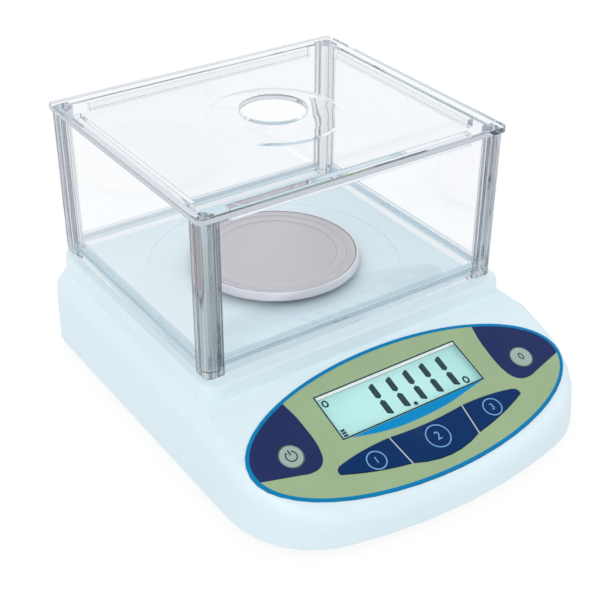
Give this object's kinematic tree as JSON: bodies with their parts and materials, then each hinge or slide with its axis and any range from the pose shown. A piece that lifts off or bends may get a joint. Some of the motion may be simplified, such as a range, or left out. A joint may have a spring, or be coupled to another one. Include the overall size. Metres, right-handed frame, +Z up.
{
  "type": "precision balance",
  "caption": "Laboratory precision balance: round steel weighing pan inside a clear box-shaped wind shield with a lift-off lid, and a sloping oval control panel with a display and keys.",
  "frame": {"origin": "on the surface the balance stands on, under the middle of its housing", "axes": "+X to the right as seen from the front, +Y from the control panel to the rear, +Z up"},
  "size_m": [0.171, 0.214, 0.1254],
  "materials": {
    "white_plastic": "satin moulded",
    "grey_plastic": "fine texture",
    "printed_film": "satin printed film",
    "clear_plastic": "polished clear",
    "display": "semi-gloss",
    "diffuser": "diffusing",
    "circuit_board": "solder mask",
    "grey_key": "satin",
    "blue_key": "satin printed film",
    "aluminium": "machined",
    "zinc_steel": "zinc plated",
    "polished_steel": "fine brushed",
    "black_plastic": "satin",
    "cell_wrap": "printed sleeve",
    "rubber": "matte"
  },
  "bodies": {
    "housing": {"upper_housing": "white_plastic", "bottom_cover": "grey_plastic", "panel_overlay": "printed_film", "display_window": "clear_plastic", "display_glass": "display", "display_backlight": "diffuser", "display_board": "circuit_board", "main_board": "circuit_board", "load_cell": "aluminium", "load_cell_plate": "zinc_steel", "cell_fixed_bolt_1": "zinc_steel", "cell_fixed_bolt_2": "zinc_steel", "cell_load_bolt_1": "zinc_steel", "cell_load_bolt_2": "zinc_steel", "overload_stop": "zinc_steel", "pan_spindle": "aluminium", "power_inlet": "black_plastic", "battery_contact_front": "zinc_steel", "battery_contact_rear": "zinc_steel", "battery_1": "cell_wrap", "battery_2": "cell_wrap", "battery_3": "cell_wrap", "battery_4": "cell_wrap", "housing_screw_1": "zinc_steel", "housing_screw_2": "zinc_steel", "housing_screw_3": "zinc_steel", "housing_screw_4": "zinc_steel"},
    "battery_door": {"battery_door": "grey_plastic"},
    "weighing_pan": {"weighing_pan": "polished_steel"},
    "shield": {"shield_rail_front": "clear_plastic", "shield_rail_right": "clear_plastic", "shield_rail_rear": "clear_plastic", "shield_rail_left": "clear_plastic", "shield_pane_front": "clear_plastic", "shield_pane_right": "clear_plastic", "shield_pane_rear": "clear_plastic", "shield_pane_left": "clear_plastic", "shield_post_front_left": "clear_plastic", "shield_post_front_right": "clear_plastic", "shield_post_rear_right": "clear_plastic", "shield_post_rear_left": "clear_plastic"},
    "lid": {"shield_lid": "clear_plastic"},
    "power_key": {"power_key": "grey_key"},
    "zero_key": {"zero_key": "grey_key"},
    "left_key": {"left_key": "blue_key"},
    "centre_key": {"centre_key": "blue_key"},
    "right_key": {"right_key": "blue_key"},
    "foot_1": {"levelling_foot_1": "black_plastic", "foot_pad_1": "rubber"},
    "foot_2": {"levelling_foot_2": "black_plastic", "foot_pad_2": "rubber"},
    "foot_3": {"levelling_foot_3": "black_plastic", "foot_pad_3": "rubber"},
    "foot_4": {"levelling_foot_4": "black_plastic", "foot_pad_4": "rubber"}
  },
  "joints": [
    {"name": "shield_lift", "type": "slide", "parent": "housing", "child": "shield", "axis": [0, 0, 1], "range_m": [0, 0.1]},
    {"name": "lid_lift", "type": "slide", "parent": "shield", "child": "lid", "axis": [0, 0, 1], "range_m": [0, 0.06]},
    {"name": "pan_lift", "type": "slide", "parent": "housing", "child": "weighing_pan", "axis": [0, 0, 1], "range_m": [0, 0.045]},
    {"name": "battery_door_slide", "type": "slide", "parent": "housing", "child": "battery_door", "axis": [0, 1, 0], "range_m": [0, 0.058]},
    {"name": "power_key_press", "type": "slide", "parent": "housing", "child": "power_key", "axis": [0, 0.3305, -0.9438], "range_m": [0, 0.0005], "stiffness_N_per_m": 400, "springref_m": -0.0005},
    {"name": "zero_key_press", "type": "slide", "parent": "housing", "child": "zero_key", "axis": [0, 0.3305, -0.9438], "range_m": [0, 0.0005], "stiffness_N_per_m": 400, "springref_m": -0.0005},
    {"name": "left_key_press", "type": "slide", "parent": "housing", "child": "left_key", "axis": [0, 0.3305, -0.9438], "range_m": [0, 0.0005], "stiffness_N_per_m": 400, "springref_m": -0.0005},
    {"name": "centre_key_press", "type": "slide", "parent": "housing", "child": "centre_key", "axis": [0, 0.3305, -0.9438], "range_m": [0, 0.0005], "stiffness_N_per_m": 400, "springref_m": -0.0005},
    {"name": "right_key_press", "type": "slide", "parent": "housing", "child": "right_key", "axis": [0, 0.3305, -0.9438], "range_m": [0, 0.0005], "stiffness_N_per_m": 400, "springref_m": -0.0005},
    {"name": "foot_1_turn", "type": "hinge", "parent": "housing", "child": "foot_1", "pos_m": [-0.06, 0.085, 0.004], "axis": [0, 0, 1], "continuous": true},
    {"name": "foot_2_turn", "type": "hinge", "parent": "housing", "child": "foot_2", "pos_m": [-0.05, -0.08, 0.004], "axis": [0, 0, 1], "continuous": true},
    {"name": "foot_3_turn", "type": "hinge", "parent": "housing", "child": "foot_3", "pos_m": [0.06, 0.085, 0.004], "axis": [0, 0, 1], "continuous": true},
    {"name": "foot_4_turn", "type": "hinge", "parent": "housing", "child": "foot_4", "pos_m": [0.05, -0.08, 0.004], "axis": [0, 0, 1], "continuous": true}
  ]
}
